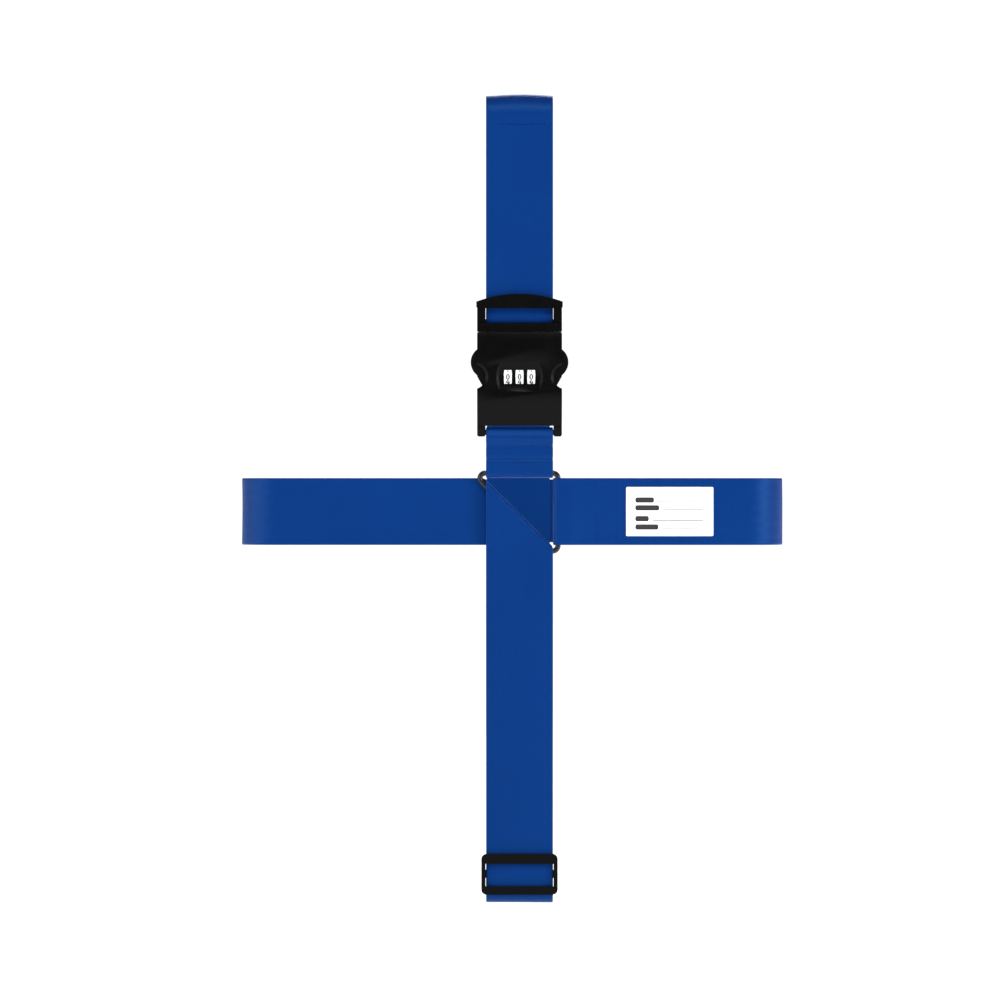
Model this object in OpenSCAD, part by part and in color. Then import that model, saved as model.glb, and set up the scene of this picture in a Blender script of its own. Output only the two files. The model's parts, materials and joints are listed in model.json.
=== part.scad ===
// Cross luggage strap: two webbing loops round a case, joined on the front by a
// three-sided ring, closed by a three-dial combination side-release buckle.
// Millimetres. +Z is up and the front of the case faces -Y.
// The origin is the middle of the case's underside, which the lower pass holds.

/* [Case] */
// Width of the case inside the girth loop
case_w = 402.8; // [320:0.1:560]
// Depth of the case, front to back
case_d = 250; // [180:1:380]
// Height of the case inside the upright loop
case_h = 599.8; // [540:0.1:780]
// Bend radius of the webbing at the case's upright edges
edge_r = 26; // [10:1:40]
// Bend radius of the webbing at the case's top edges
top_r = 14; // [8:1:40]
// Bend radius of the webbing at the case's bottom edges
base_r = 6; // [4:0.5:9]

/* [Webbing] */
// Width of the webbing
web_w = 50; // [40:0.5:60]
// Thickness of the webbing
web_t = 1.6; // [1:0.1:2.2]
// Offset of the upright loop from the case's middle, to the right
strap_x = 5.5; // [-40:0.5:40]
// Height of the girth loop's middle
girth_z = 290.4; // [200:0.1:330]
// Length of the girth end that is folded round the ring and sewn down
sewn_end = 70; // [50:1:90]
// Length of the free tail above the buckle
tail_len = 118; // [60:1:130]

/* [Ring] */
// Radius of the ring's wire, and of the bars that the webbing turns round
bar_r = 2; // [1.5:0.1:2.6]
// Radius of the ring's bent corners, to the middle of the wire
ring_bend = 4; // [3:0.1:4.4]
// Distance from the ring's top side to the buckle's lower bar
link_pitch = 30.5; // [26:0.5:60]

/* [Lock] */
// Room left each side of the webbing inside a buckle frame
web_side_gap = 0.4; // [0.4:0.1:1.2]
// Width of a buckle frame's side rail
rail_w = 6.2; // [4:0.1:7]
// Thickness of the lock, back to front
lock_t = 17; // [17:0.1:20]
// Wall of the lock's covers
wall = 1.6; // [1.2:0.1:1.8]
// Corner radius of the lock's outline
lock_corner = 1.5; // [1:0.5:4]

/* [Dials] */
// Radius of a number dial
dial_r = 7.5; // [7:0.1:7.6]
// Width of a number dial
dial_w = 5.6; // [5.4:0.1:6.3]
// Distance between dials
dial_pitch = 8.7; // [8.6:0.1:9]
// How far a dial stands out of the lock's face
dial_proud = 0.3; // [0.1:0.1:0.8]

/* [Slide and label] */
// Height of the slide's middle above the case's underside
slide_z = 20; // [20:1:160]
// Height of the slide's frame
slide_h = 30.4; // [26:0.1:34]
// Width of the name label
label_w = 65; // [50:0.1:80]
// Height of the name label
label_h = 36.6; // [26:0.1:38]
// Distance from the strap crossing to the middle of the label
label_x = 112; // [105:1:125]

/* [Hidden] */
$fn = 96;
lie_gap = 0.3;                       // webbing to case
wrap_gap = 0.1;                      // webbing to the bar that it turns round
fit = 0.3;                           // between parts that slide past each other
snug = 0.05;                         // radial clearance of a turning fit
eps = 0.01;
wrap_in = bar_r + wrap_gap;
wrap_out = wrap_in + web_t;
wrap_mid = wrap_in + web_t / 2;
skin = 0.02;
case_front = -case_d / 2;
bar_y = case_front - lie_gap - wrap_out;
outer_y = bar_y - wrap_mid;          // middle of the webbing's outer layer
inner_y = bar_y + wrap_mid;          // middle of its inner layer
side_x = case_w / 2 + web_t / 2;
back_y = case_d / 2 + web_t / 2;
girth_back_y = back_y + web_t + 0.2; // the girth loop crosses outside the upright one
floor_z = -web_t / 2;
roof_z = case_h + web_t / 2;
split_z = case_h - top_r - 6;        // where the stretch to the buckle starts

// The webbing goes round the slanting side of the ring by half a turn, so it comes off
// further along the side than it went on.
fold_shift = round(PI * wrap_mid / sqrt(2) * 50) / 50;
fold_sum = strap_x + girth_z - fold_shift;   // x + z all along the slanting side
ring_top_z = girth_z + web_w / 2 + wrap_out;
ring_side_x = strap_x + web_w / 2 + wrap_out;
low_bar_z = ring_top_z + link_pitch;

// Lock, in its own frame: x from the webbing's middle, y from its back, z from the low bar
lock_gap = 0.4;
frame_in = web_w / 2 + web_side_gap;
lock_half = frame_in + rail_w;
lock_bar_y = bar_y - (case_front - lock_gap);
web_front_y = lock_bar_y - wrap_out;
lock_low = wrap_out + 1.1;
slope_top = lock_low + 16.8;
slope_y = -9.5;
lock_top = 74.6;
seam_y = -8.2;
dial_z = 41;
dial_y = -lock_t - dial_proud + dial_r;
dial_scale = dial_r / 7.5;           // what is inside a dial, and the dish, follow its size
dish_deep = 1.8 * dial_scale;
dish_wall = 1;
dish_half = 10.9;
dish_reach = 16.2;
dish_r = 19.4;
scoop_r = (dish_half * dish_half + dish_deep * dish_deep) / (2 * dish_deep);
window_gap = 0.3;
scallop_r = 11;
scallop_edge = 2;
scallop_x = lock_half + 2.7;
pad_low = 30;
pad_r = 12;
pad_bulge = 4.8;
pad_high = 63;
spindle_r = 1.5;
sleeve_r = 4.3 * dial_scale;
neck_r = 4 * dial_scale;
neck_flat = 2.6 * dial_scale;
neck_w = 2;
neck_gap = 0.2;
neck_x = dial_w / 2 + neck_gap + neck_w / 2;
plate_travel = 2.1;
plate_low = dial_z + dial_r + plate_travel + fit;
plate_h = 3;
plate_half = 20;
fork_t = 1.2;
fork_half = 4 * dial_scale;
fork_gap = 2.8 * dial_scale;
fork_tip = dial_z + 3.2 * dial_scale;
spring_x = 17.5;
ledge_z = dial_z + 1.5;
nose_r = 1.5;
arm_y0 = -3;
arm_y1 = -13.9;
arm_in = 22.6;
arm_t = 3.8;
plug_low = lock_top + 0.4;
tongue_half = 9;
tongue_len = 15;
adj_z = lock_top + 7.8;
lip_top = lock_top + 6.8;
crown_low = lock_top + 17.8;
crown_top = lock_top + 28.4;
crown_arch = 93.3;
crown_y0 = web_front_y - 0.5;
crown_y1 = crown_y0 - 4.7;
screw_r = 1;
screw_head_r = 2.3;
screw_len = 9;
screws = [[-20.5, 11.5], [20.5, 11.5], [-15.5, 67.5], [15.5, 67.5]];
reset_z = 22;
reset_r = 2;
label_t = 0.6;

WEB_BLUE = [0.03, 0.20, 0.52];
BLACK = [0.05, 0.05, 0.055];
STEEL = [0.72, 0.72, 0.74];

// ---------- helpers ----------

// Points of an arc about c, from angle a0 to a1
function arc(c, r, a0, a1, n = 12) =
    [for (i = [0:n]) let (a = a0 + (a1 - a0) * i / n) [c[0] + r * cos(a), c[1] + r * sin(a)]];

function unit(v) = v / norm(v);
function left_of(v) = [-v[1], v[0]];

// The mitred normal of a path at point i
function path_normal(p, i) =
    let (n = len(p),
         a = i == 0 ? p[1] - p[0] : p[i] - p[i - 1],
         b = i == n - 1 ? p[n - 1] - p[n - 2] : p[i + 1] - p[i],
         m = unit(left_of(unit(a)) + left_of(unit(b))))
    m / (m * left_of(unit(a)));

// A strip of thickness t that follows the path p
module band(p, t)
    polygon(concat([for (i = [0:len(p) - 1]) p[i] + path_normal(p, i) * t / 2],
                   [for (i = [len(p) - 1:-1:0]) p[i] - path_normal(p, i) * t / 2]));

// Extrudes a (Y, Z) outline along X, about the middle
module along_x(w) rotate([90, 0, 90]) linear_extrude(w, center = true) children();

// Extrudes an (X, Z) outline along Y, from y0 towards the front as far as y1
module along_y(y0, y1) translate([0, y0, 0]) rotate([90, 0, 0]) linear_extrude(y0 - y1) children();

module box(x, y, z) translate([x[0], y[0], z[0]]) cube([x[1] - x[0], y[1] - y[0], z[1] - z[0]]);

module bar_x(r, x, y, z) translate([x[0], y, z]) rotate([0, 90, 0]) cylinder(r = r, h = x[1] - x[0]);

module rod_y(r, x, y, z, r2 = undef)
    translate([x, y[0], z]) rotate([90, 0, 0])
        cylinder(r1 = r, r2 = is_undef(r2) ? r : r2, h = y[0] - y[1]);

// A rectangle with round corners, from corner a to corner b
module rounded(a, b, r) {
    translate([a[0] + r, a[1]]) square([b[0] - a[0] - 2 * r, b[1] - a[1]]);
    translate([a[0], a[1] + r]) square([b[0] - a[0], b[1] - a[1] - 2 * r]);
    for (x = [a[0] + r, b[0] - r], z = [a[1] + r, b[1] - r]) translate([x, z]) circle(r);
}

module at_lock() translate([strap_x, case_front - lock_gap, low_bar_z]) children();

module both_sides() {
    children();
    mirror([1, 0, 0]) children();
}

// A coil spring standing on z = 0: one swept tube with closed ends
module coil(r, wire, h, turns, sides = 5, steps = 9) {
    n = turns * steps;
    ring = function (i) let (a = 360 * i / steps, z = wire + (h - 2 * wire) * i / n)
        [for (k = [0:sides - 1]) let (b = 360 * k / sides, q = r + wire * cos(b))
            [q * cos(a), q * sin(a), z + wire * sin(b)]];
    points = [for (i = [0:n]) each ring(i)];
    walls = [for (i = [0:n - 1], k = [0:sides - 1]) let (m = (k + 1) % sides)
        each [[i * sides + k, (i + 1) * sides + k, (i + 1) * sides + m],
              [i * sides + k, (i + 1) * sides + m, i * sides + m]]];
    ends = [[for (k = [0:sides - 1]) k], [for (k = [sides - 1:-1:0]) n * sides + k]];
    polyhedron(points, concat(walls, ends));
}

// ---------- webbing ----------

// Girth loop in plan: sewn end, turn round the ring, right, back, left, to the fold
function girth_path() =
    let (r0 = edge_r + web_t / 2,
         tail_y = outer_y + web_t + 0.05,
         lead = ring_side_x + 26)
    concat([[ring_side_x + sewn_end, tail_y], [lead, tail_y], [ring_side_x + 4, inner_y]],
           arc([ring_side_x, bar_y], wrap_mid, 90, 270, 16),
           arc([side_x - r0, outer_y + r0], r0, -90, 0),
           arc([side_x - r0, girth_back_y - r0], r0, 0, 90),
           arc([-side_x + r0, girth_back_y - r0], r0, 90, 180),
           arc([-side_x + r0, inner_y + r0], r0, 180, 270),
           [[strap_x + web_w / 2 - 0.04, inner_y]]);

// The part of the plane on the lower left of the ring's slanting side
module below_fold(margin = 0)
    polygon([[fold_sum - girth_z - 60 - margin, girth_z + 60], [-side_x - 20, girth_z + 60],
             [-side_x - 20, -20], [fold_sum + 20 - margin, -20]]);

// Half a tube round the slanting side, where the girth strap turns over and down. It is a
// hair thicker than the flat webbing, which runs a little way into it.
module fold_turn() {
    half_len = web_w / sqrt(2);
    translate([(fold_sum + strap_x - girth_z) / 2, bar_y, (fold_sum - strap_x + girth_z) / 2])
        rotate([0, 45, 0]) rotate([0, 90, 0])
            translate([0, 0, -half_len]) linear_extrude(2 * half_len) difference() {
                circle(wrap_out + skin);
                circle(wrap_in - skin);
                translate([0, -wrap_out - 1]) square([wrap_out + 1, 2 * wrap_out + 2]);
            }
}

module girth_webbing() color(WEB_BLUE) {
    difference() {
        translate([0, 0, girth_z - web_w / 2]) linear_extrude(web_w) band(girth_path(), web_t);
        // the pass from the left ends along the ring's slanting side
        along_y(case_front + 1, outer_y - 5) difference() {
            translate([strap_x - 2 * web_w, girth_z - web_w])
                square([2.5 * web_w - 0.02, 2 * web_w]);
            below_fold(-0.28);
        }
    }
    fold_turn();
}

// Upright loop seen from the side: down the front below the fold, under, up the back, over
function length_path() =
    let (rb = base_r + web_t / 2, rt = top_r + web_t / 2)
    concat([[outer_y, girth_z + web_w]],
           arc([outer_y + rb, floor_z + rb], rb, 180, 270),
           arc([back_y - rb, floor_z + rb], rb, 270, 360),
           arc([back_y - rt, roof_z - rt], rt, 0, 90),
           arc([outer_y + rt, roof_z - rt], rt, 90, 180),
           [[outer_y, split_z]]);

module length_webbing() color(WEB_BLUE) difference() {
    translate([strap_x, 0, 0]) along_x(web_w) band(length_path(), web_t);
    // the run below the fold ends along the ring's slanting side
    along_y(case_front, outer_y - 5) difference() {
        translate([strap_x - web_w, 200]) square([2 * web_w, girth_z + web_w + 1 - 200]);
        translate([0, 0]) below_fold();
    }
}

// The stretch down to the plug, round its adjuster bar, and the free tail behind it
module buckle_webbing() color(WEB_BLUE) {
    z = low_bar_z + adj_z;
    translate([strap_x, 0, 0]) along_x(web_w)
        band(concat([[outer_y, split_z - eps]], arc([bar_y, z], wrap_mid, 180, 360, 16),
                    [[inner_y, z + tail_len]]), web_t);
}

// Closed belt from the lock's low bar down to the ring's top side
module link_webbing() color(WEB_BLUE)
    translate([strap_x, bar_y, ring_top_z]) along_x(web_w) difference() {
        stadium(wrap_out, link_pitch);
        stadium(wrap_in, link_pitch);
    }

module stadium(r, pitch) {
    circle(r);
    translate([0, pitch]) circle(r);
    translate([-r, 0]) square([2 * r, pitch]);
}

// ---------- ring, slide and label ----------

// One side of the ring, between corners a and b, each given as [x, z, turn angle]
module ring_side(a, b) {
    from = [a[0], a[1]];
    to = [b[0], b[1]];
    way = unit(to - from);
    start = from + way * ring_bend / tan(a[2] / 2);
    end = to - way * ring_bend / tan(b[2] / 2);
    // drawn a hair thinner than the bends, and let a little way into them
    lap = 0.1;
    translate([start[0] - way[0] * lap, bar_y, start[1] - way[1] * lap])
        rotate([0, 90 - atan2(way[1], way[0]), 0])
            cylinder(r = bar_r - 0.03, h = norm(end - start) + 2 * lap);
}

// A bent corner of the ring at v, whose sides leave at angles a0 and a1
module ring_corner(v, a0, a1) {
    half = abs(a1 - a0) / 2;
    mid = (a0 + a1) / 2;
    c = v + [cos(mid), sin(mid)] * ring_bend / sin(half);
    translate([c[0], bar_y, c[1]]) rotate([90, 0, 0])
        rotate([0, 0, mid + 180 - (90 - half)]) rotate_extrude(angle = 180 - 2 * half, $fn = 64)
            translate([ring_bend, 0]) circle(bar_r, $fn = 32);
}

module triangle_ring() color(STEEL) {
    top_left = [fold_sum - ring_top_z, ring_top_z];
    top_right = [ring_side_x, ring_top_z];
    low_right = [ring_side_x, fold_sum - ring_side_x];
    ring_side([top_left[0], top_left[1], 45], [top_right[0], top_right[1], 90]);
    ring_side([top_right[0], top_right[1], 90], [low_right[0], low_right[1], 45]);
    ring_side([low_right[0], low_right[1], 45], [top_left[0], top_left[1], 45]);
    ring_corner(top_left, 0, -45);
    ring_corner(top_right, 180, 270);
    ring_corner(low_right, 90, 135);
}

// Three-bar slide: the webbing runs behind the outer bars and over the middle one
module webbing_slide() color(BLACK) {
    half = frame_in + 3.1;
    top_bar = 7.4;
    low_bar = 6.2;
    front = outer_y - web_t / 2 - 0.5;
    behind = outer_y + web_t / 2 + 0.4;
    translate([strap_x, 0, slide_z - slide_h / 2]) {
        along_y(front, front - 3) difference() {
            rounded([-half, 0], [half, slide_h], 4);
            translate([-frame_in, low_bar]) square([2 * frame_in, slide_h - low_bar - top_bar]);
        }
        both_sides() box([frame_in, half], [front - eps, behind + 2.4], [4, slide_h - 4]);
        box([-frame_in - eps, frame_in + eps], [behind, behind + 2.4],
            [slide_h / 2 - 3, slide_h / 2 + 3]);
    }
}

module name_label() color("white") {
    face = outer_y - web_t / 2;
    along_y(face, face - label_t)
        translate([strap_x + label_x, girth_z]) rounded([-label_w / 2, -label_h / 2],
                                                        [label_w / 2, label_h / 2], 1);
}

// ---------- lock ----------

// Side profile of the closed lock, grown inwards by a wall
module lock_profile(inset = 0)
    polygon([[-inset, lock_low + inset], [-inset, lock_top - inset],
             [-lock_t + inset + 1.5, lock_top - inset], [-lock_t + inset, lock_top - 6],
             [-lock_t + inset, slope_top], [slope_y + inset, lock_low + inset]]);

module lock_outline(inset = 0)
    rounded([-lock_half + inset, lock_low + inset], [lock_half - inset, lock_top - inset],
            max(lock_corner - inset, 0.5));

module lock_block() intersection() {
    along_x(2 * lock_half) lock_profile();
    along_y(1, -lock_t - 1) lock_outline();
}

module lock_hollow() intersection() {
    along_x(2 * lock_half - 2 * wall) lock_profile(wall);
    along_y(1, -lock_t - 1) lock_outline(wall);
}

// What both covers have cut out: thumb scallops, side openings and the plug's three ways in
module lock_cuts() {
    both_sides() {
        rod_y(scallop_r - scallop_edge, scallop_x, [1, -lock_t - 1], dial_z);
        rod_y(scallop_r - scallop_edge, scallop_x, [-lock_t + scallop_edge * 0.75, -lock_t],
              dial_z, scallop_r);
        box([lock_half - wall - 1, lock_half + 1], [arm_y1 - 0.6, arm_y0 + 0.6],
            [pad_low, pad_high]);
        box([arm_in - 1.2, arm_in + arm_t + 1.2], [arm_y1 - 0.4, arm_y0 + 0.4],
            [lock_top - wall - 1, lock_top + 1]);
    }
    box([-tongue_half - 0.5, tongue_half + 0.5], [-12, -6], [lock_top - wall - 1, lock_top + 1]);
}

module front_half() box([-lock_half - 1, lock_half + 1], [-lock_t - 1, seam_y], [0, lock_top + 1]);
module back_half() box([-lock_half - 1, lock_half + 1], [seam_y, 1], [0, lock_top + 1]);

// Dish round the dials: a shallow scoop, deepest level with the dials' middle, that ends in a
// slanting bowed wall at each side
module dial_dish() intersection() {
    bar_x(scoop_r, [-20, 20], -lock_t + dish_deep - scoop_r, dial_z);
    dish_wall_cone(1);
    dish_wall_cone(-1);
}

module dish_wall_cone(side)
    translate([side * (dish_reach - dish_r), -lock_t + dish_deep + 0.1, dial_z])
        rotate([90, 0, 0]) cylinder(r1 = dish_r - 1.3, r2 = dish_r + 1.3, h = dish_deep + 0.2);

// Windows that follow the dials' own roundness
module dial_windows() for (i = [-1:1])
    bar_x(dial_r + window_gap, [i * dial_pitch - dial_w / 2 - 0.4, i * dial_pitch + dial_w / 2 + 0.4],
          dial_y, dial_z);

module lock_front_cover() color(BLACK) at_lock() difference() {
    union() {
        difference() {
            intersection() { lock_block(); front_half(); }
            lock_hollow();
        }
        // thicker floor behind the dish
        box([-19.4, 19.4], [-lock_t + wall - eps, -lock_t + dish_deep + dish_wall],
            [dial_z - 8.8, dial_z + 8.8]);
        for (s = screws) intersection() {
            rod_y(2.6, s[0], [seam_y, -lock_t], s[1]);
            lock_block();
        }
    }
    dial_dish();
    dial_windows();
    lock_cuts();
    for (s = screws) rod_y(screw_r + snug, s[0], [seam_y + 1, -screw_len - 0.4], s[1]);
}

module lock_back_cover() color(BLACK) at_lock() {
    difference() {
        union() {
            difference() {
                intersection() { lock_block(); back_half(); }
                lock_hollow();
            }
            for (s = screws) rod_y(2.9, s[0], [-wall + eps, seam_y], s[1]);
            // uprights that carry the spindle
            for (x = [-dial_pitch - dial_w / 2 - 1.8, dial_pitch + neck_x + neck_w / 2 + 0.3])
                box([x, x + 1.3], [dial_y - 2.6, -wall + eps], [dial_z - 2.6, dial_z + 2.6]);
            // ledges under the plate's springs
            both_sides() box([spring_x - 1.5, spring_x + 1], [dial_y - 1.8, -wall + eps],
                             [ledge_z - 2, ledge_z]);
            // guide of the reset button
            rod_y(reset_r + 1.2, 0, [-wall + eps, seam_y], reset_z);
        }
        lock_cuts();
        bar_x(spindle_r + snug, [-15, 15.9], dial_y, dial_z);
        for (s = screws) {
            rod_y(screw_r + snug, s[0], [1, seam_y - 1], s[1]);
            rod_y(screw_head_r + 0.2, s[0], [eps, -1.3], s[1], screw_r + 0.1);
        }
        rod_y(reset_r + 0.1, 0, [1, -3], reset_z);
        rod_y(reset_r - 0.4, 0, [-2.9, seam_y - 1], reset_z);
    }
    // ears and the bar that the link webbing turns round
    both_sides() intersection() {
        along_x(2 * lock_half) polygon([[0, lock_low + 4], [0, -3.2], [-6.4, -3.2],
                                        [seam_y, lock_low - 2], [seam_y, lock_low + 4]]);
        along_y(1, -lock_t) rounded([frame_in, -3.2], [lock_half, lock_low + 8], 1.5);
    }
    bar_x(bar_r, [-frame_in - 1, frame_in + 1], lock_bar_y, 0);
}

module lock_screws() color(STEEL) at_lock() for (s = screws) difference() {
    union() {
        rod_y(screw_r, s[0], [-0.2, -screw_len], s[1]);
        rod_y(screw_head_r, s[0], [-0.15, -1.2], s[1], screw_r);
    }
    for (turn = [0, 90]) translate([s[0], 0, s[1]]) rotate([0, turn, 0])
        box([-1.2, 1.2], [-0.75, 1], [-0.25, 0.25]);
}

module dial_spindle() color(STEEL) at_lock()
    bar_x(spindle_r, [-dial_pitch - dial_w / 2 - 2.2, dial_pitch + neck_x + neck_w / 2 + 1.5],
          dial_y, dial_z);

// Number dial: ten faces with a groove between each two, keyed to its sleeve
module dial(i) color("gainsboro") at_lock() translate([i * dial_pitch, dial_y, dial_z])
    rotate([0, 90, 0]) difference() {
        cylinder(r = dial_r, h = dial_w, center = true);
        cylinder(r = sleeve_r + snug, h = dial_w + 1, center = true);
        for (k = [0:9]) rotate([0, 0, 36 * k + 18]) translate([dial_r + 0.25, 0, 0])
            cylinder(r = 0.7, h = dial_w + 1, center = true, $fn = 24);
        for (k = [0:9]) rotate([0, 0, 36 * k])
            translate([sleeve_r - 0.5, -0.65, -dial_w]) cube([1.5, 1.3, 2 * dial_w]);
    }

// Sleeve inside a dial: a key, and a two-flat neck that the lock plate's fork can pass
module dial_sleeve(i) color(STEEL) at_lock() translate([i * dial_pitch, dial_y, dial_z])
    rotate([0, 90, 0]) difference() {
        union() {
            cylinder(r = sleeve_r, h = dial_w + 2 * neck_gap, center = true);
            translate([sleeve_r - 0.6, -0.5, -dial_w / 2]) cube([1.4, 1, dial_w]);
            intersection() {
                translate([0, 0, dial_w / 2]) cylinder(r = neck_r, h = neck_gap + neck_w);
                translate([-neck_r, -neck_flat, 0]) cube([2 * neck_r, 2 * neck_flat, 10]);
            }
        }
        cylinder(r = spindle_r + snug, h = 30, center = true);
    }

// Leaf with a finger under each dial, which drops into the groove between two numbers
module detent_spring() color(STEEL) at_lock() {
    foot = dial_z - dial_r - 5;
    touch = dial_z - dial_r - 0.15;
    box([-13, 13], [-3.6, -wall - 0.05], [foot - 2, foot - 1.6]);
    for (i = [-1:1]) translate([i * dial_pitch, 0, 0]) along_x(4.6)
        band([[-3.4, foot - 1.8], [-7, foot], [dial_y + 1.2, touch - 0.9], [dial_y, touch - 0.25],
              [dial_y - 1.2, touch - 0.9]], 0.4);
}

// Comb plate: its forks pass the sleeves' necks only when all three are lined up
module lock_plate() color(STEEL) at_lock() {
    top = plate_low + plate_h;
    along_y(dial_y + fork_half, dial_y - fork_half)
        polygon([[-plate_half, plate_low], [plate_half, plate_low],
                 [plate_half - plate_h, top], [-plate_half + plate_h, top]]);
    for (i = [-1:1]) difference() {
        box([i * dial_pitch + neck_x - fork_t / 2, i * dial_pitch + neck_x + fork_t / 2],
            [dial_y - fork_half, dial_y + fork_half], [fork_tip, plate_low + eps]);
        box([i * dial_pitch + neck_x - 2, i * dial_pitch + neck_x + 2],
            [dial_y - fork_gap, dial_y + fork_gap],
            [fork_tip - 1, dial_z + neck_r + plate_travel + fit]);
    }
}

module plate_springs() color(STEEL) at_lock() both_sides()
    translate([spring_x - 0.25, dial_y, ledge_z + 0.02])
        coil(1.05, 0.2, plate_low - ledge_z - 0.04, 6);

// Code-change button, pressed from the back
module reset_button() color(STEEL) at_lock() {
    rod_y(reset_r, 0, [-0.2, -1.2], reset_z);
    rod_y(reset_r - 0.9, 0, [-1.1, seam_y - 1.5], reset_z);
}

module reset_spring() color(STEEL) at_lock() translate([0, -1.22, reset_z]) rotate([90, 0, 0])
    coil(1.45, 0.15, 1.6, 3);

// ---------- plug ----------

module plug_base() color(BLACK) at_lock() {
    // body with its lip in front of the webbing
    intersection() {
        along_x(2 * lock_half)
            polygon([[-0.6, plug_low], [-0.6, adj_z - wrap_out - 0.3],
                     [web_front_y - 0.5, adj_z - wrap_out - 0.3], [web_front_y - 0.5, lip_top],
                     [-lock_t + 2.6, lip_top], [-lock_t + 1.7, lip_top - 1],
                     [-lock_t + 1.5, plug_low]]);
        along_y(1, -lock_t - 1) rounded([-lock_half, plug_low - 2], [lock_half, lip_top + 9], 1);
    }
    // side rails
    both_sides() box([frame_in, lock_half], [crown_y1 + 0.6, -0.6], [plug_low + eps, crown_low + 4]);
    // arched top bar in front of the webbing
    along_y(crown_y0, crown_y1) intersection() {
        translate([0, crown_top - crown_arch]) circle(crown_arch, $fn = 360);
        rounded([-lock_half - 0.6, crown_low], [lock_half + 0.6, crown_top + 4], 1.5);
    }
    // adjuster bar
    bar_x(bar_r, [-frame_in - 1, frame_in + 1], lock_bar_y, adj_z);
    // guide tongue
    box([-tongue_half, tongue_half], [-11.5, -6.5], [plug_low - tongue_len, plug_low + eps]);
}

// Spring arm with the thumb pad that fills the lock's side opening, for the right side
module plug_arm() {
    nose_at = [plate_half - plate_h / 2 + (nose_r + 0.25) / sqrt(2),
               plate_low + plate_h / 2 + (nose_r + 0.25) / sqrt(2)];
    pad_c = [lock_half + pad_bulge - pad_r, 52];
    along_y(arm_y0, arm_y1) {
        // the arm ends in the round of its hinge, moulded on to the plug
        translate([arm_in + arm_t / 2, plug_low - arm_t / 2]) circle(arm_t / 2);
        translate([arm_in, pad_low + 14]) square([arm_t, plug_low - arm_t / 2 - pad_low - 14]);
        intersection() {
            translate(pad_c) circle(pad_r);
            translate([arm_in, pad_low + 11.5]) square([20, pad_high - pad_low - 11.8]);
        }
        polygon([[arm_in, pad_low + 15], [arm_in + 1.6, pad_low + 1.5], [arm_in + 3.4, pad_low + 1.5],
                 [lock_half, pad_low + 11.5], [lock_half, pad_low + 15]]);
    }
    rod_y(nose_r, nose_at[0], [dial_y + 3, dial_y - 3], nose_at[1]);
    box([nose_at[0], arm_in + eps], [dial_y - 3, dial_y + 3], [nose_at[1], nose_at[1] + nose_r]);
}

module plug_arm_right() color(BLACK) at_lock() plug_arm();
module plug_arm_left() color(BLACK) at_lock() mirror([1, 0, 0]) plug_arm();

girth_webbing();
length_webbing();
buckle_webbing();
link_webbing();
triangle_ring();
name_label();
webbing_slide();
lock_front_cover();
lock_back_cover();
lock_screws();
dial_spindle();
dial(-1);  // dial_1
dial(0);  // dial_2
dial(1);  // dial_3
dial_sleeve(-1);  // dial_sleeve_1
dial_sleeve(0);  // dial_sleeve_2
dial_sleeve(1);  // dial_sleeve_3
detent_spring();
lock_plate();
plate_springs();
reset_button();
reset_spring();
plug_base();
plug_arm_left();
plug_arm_right();
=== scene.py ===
"""Looks of the cross luggage strap: woven webbing, stitching, moulded lock, dials and label."""

import json
import math

import bmesh
import bpy
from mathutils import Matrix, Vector


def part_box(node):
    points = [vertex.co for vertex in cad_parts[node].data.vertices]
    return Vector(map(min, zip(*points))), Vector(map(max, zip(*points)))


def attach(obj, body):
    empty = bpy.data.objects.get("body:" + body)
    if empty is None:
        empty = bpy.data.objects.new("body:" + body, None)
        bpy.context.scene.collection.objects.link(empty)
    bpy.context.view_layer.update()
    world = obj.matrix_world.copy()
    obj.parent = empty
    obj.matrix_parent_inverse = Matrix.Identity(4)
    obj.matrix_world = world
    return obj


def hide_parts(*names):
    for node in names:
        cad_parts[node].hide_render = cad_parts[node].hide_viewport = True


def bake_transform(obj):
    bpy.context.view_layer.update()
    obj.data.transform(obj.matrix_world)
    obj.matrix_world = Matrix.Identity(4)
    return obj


bl_info = {
    "name": "Luggage Strap Builder",
    "version": (1, 0, 0),
    "blender": (4, 5, 0),
    "location": "3D View > Sidebar > Strap",
    "description": "Dresses a cross luggage strap in woven webbing, stitching and moulded plastic",
    "category": "Object",
}

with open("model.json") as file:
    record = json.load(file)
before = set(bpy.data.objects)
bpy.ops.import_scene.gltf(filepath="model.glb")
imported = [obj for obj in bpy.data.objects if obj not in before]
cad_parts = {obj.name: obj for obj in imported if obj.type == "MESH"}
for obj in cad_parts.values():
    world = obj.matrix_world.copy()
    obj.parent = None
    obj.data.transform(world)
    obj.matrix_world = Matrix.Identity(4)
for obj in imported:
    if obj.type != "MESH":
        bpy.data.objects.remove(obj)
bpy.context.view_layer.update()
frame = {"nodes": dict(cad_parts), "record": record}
NODES = frame["nodes"]
MOUNTS = {m["name"]: m for m in frame["record"]["mounts"]}


# ---------- sizes read from the frame ----------

def span(node, axis):
    """Lowest and highest value of a CAD node along one axis."""
    low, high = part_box(node)
    return low[axis], high[axis]


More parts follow.
